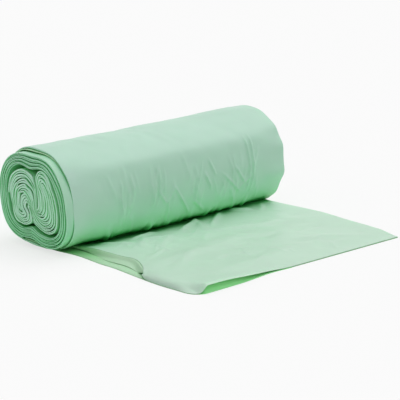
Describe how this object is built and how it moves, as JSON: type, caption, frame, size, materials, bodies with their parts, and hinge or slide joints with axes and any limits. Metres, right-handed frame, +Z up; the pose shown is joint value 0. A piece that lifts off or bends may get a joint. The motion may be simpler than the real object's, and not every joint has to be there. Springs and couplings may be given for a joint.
{
  "type": "bin bag roll",
  "caption": "Coreless roll of folded translucent film bin bags lying on its side, collapsed spiral heart showing at the slipped near end, last bag unrolled flat in front.",
  "frame": {"origin": "centre of the footprint of the roll and its unrolled bag, on the surface that they lie on", "axes": "+X runs along the roll's axis, away from the slipped end; the unrolled bag points to -Y; +Z is up"},
  "size_m": [0.25, 0.2317, 0.0851],
  "materials": {
    "film": "thin pale green translucent compostable film, satin, softly creased, darker and more saturated where layers shade each other"
  },
  "bodies": {
    "root": {"bag_roll": "film"}
  },
  "joints": []
}
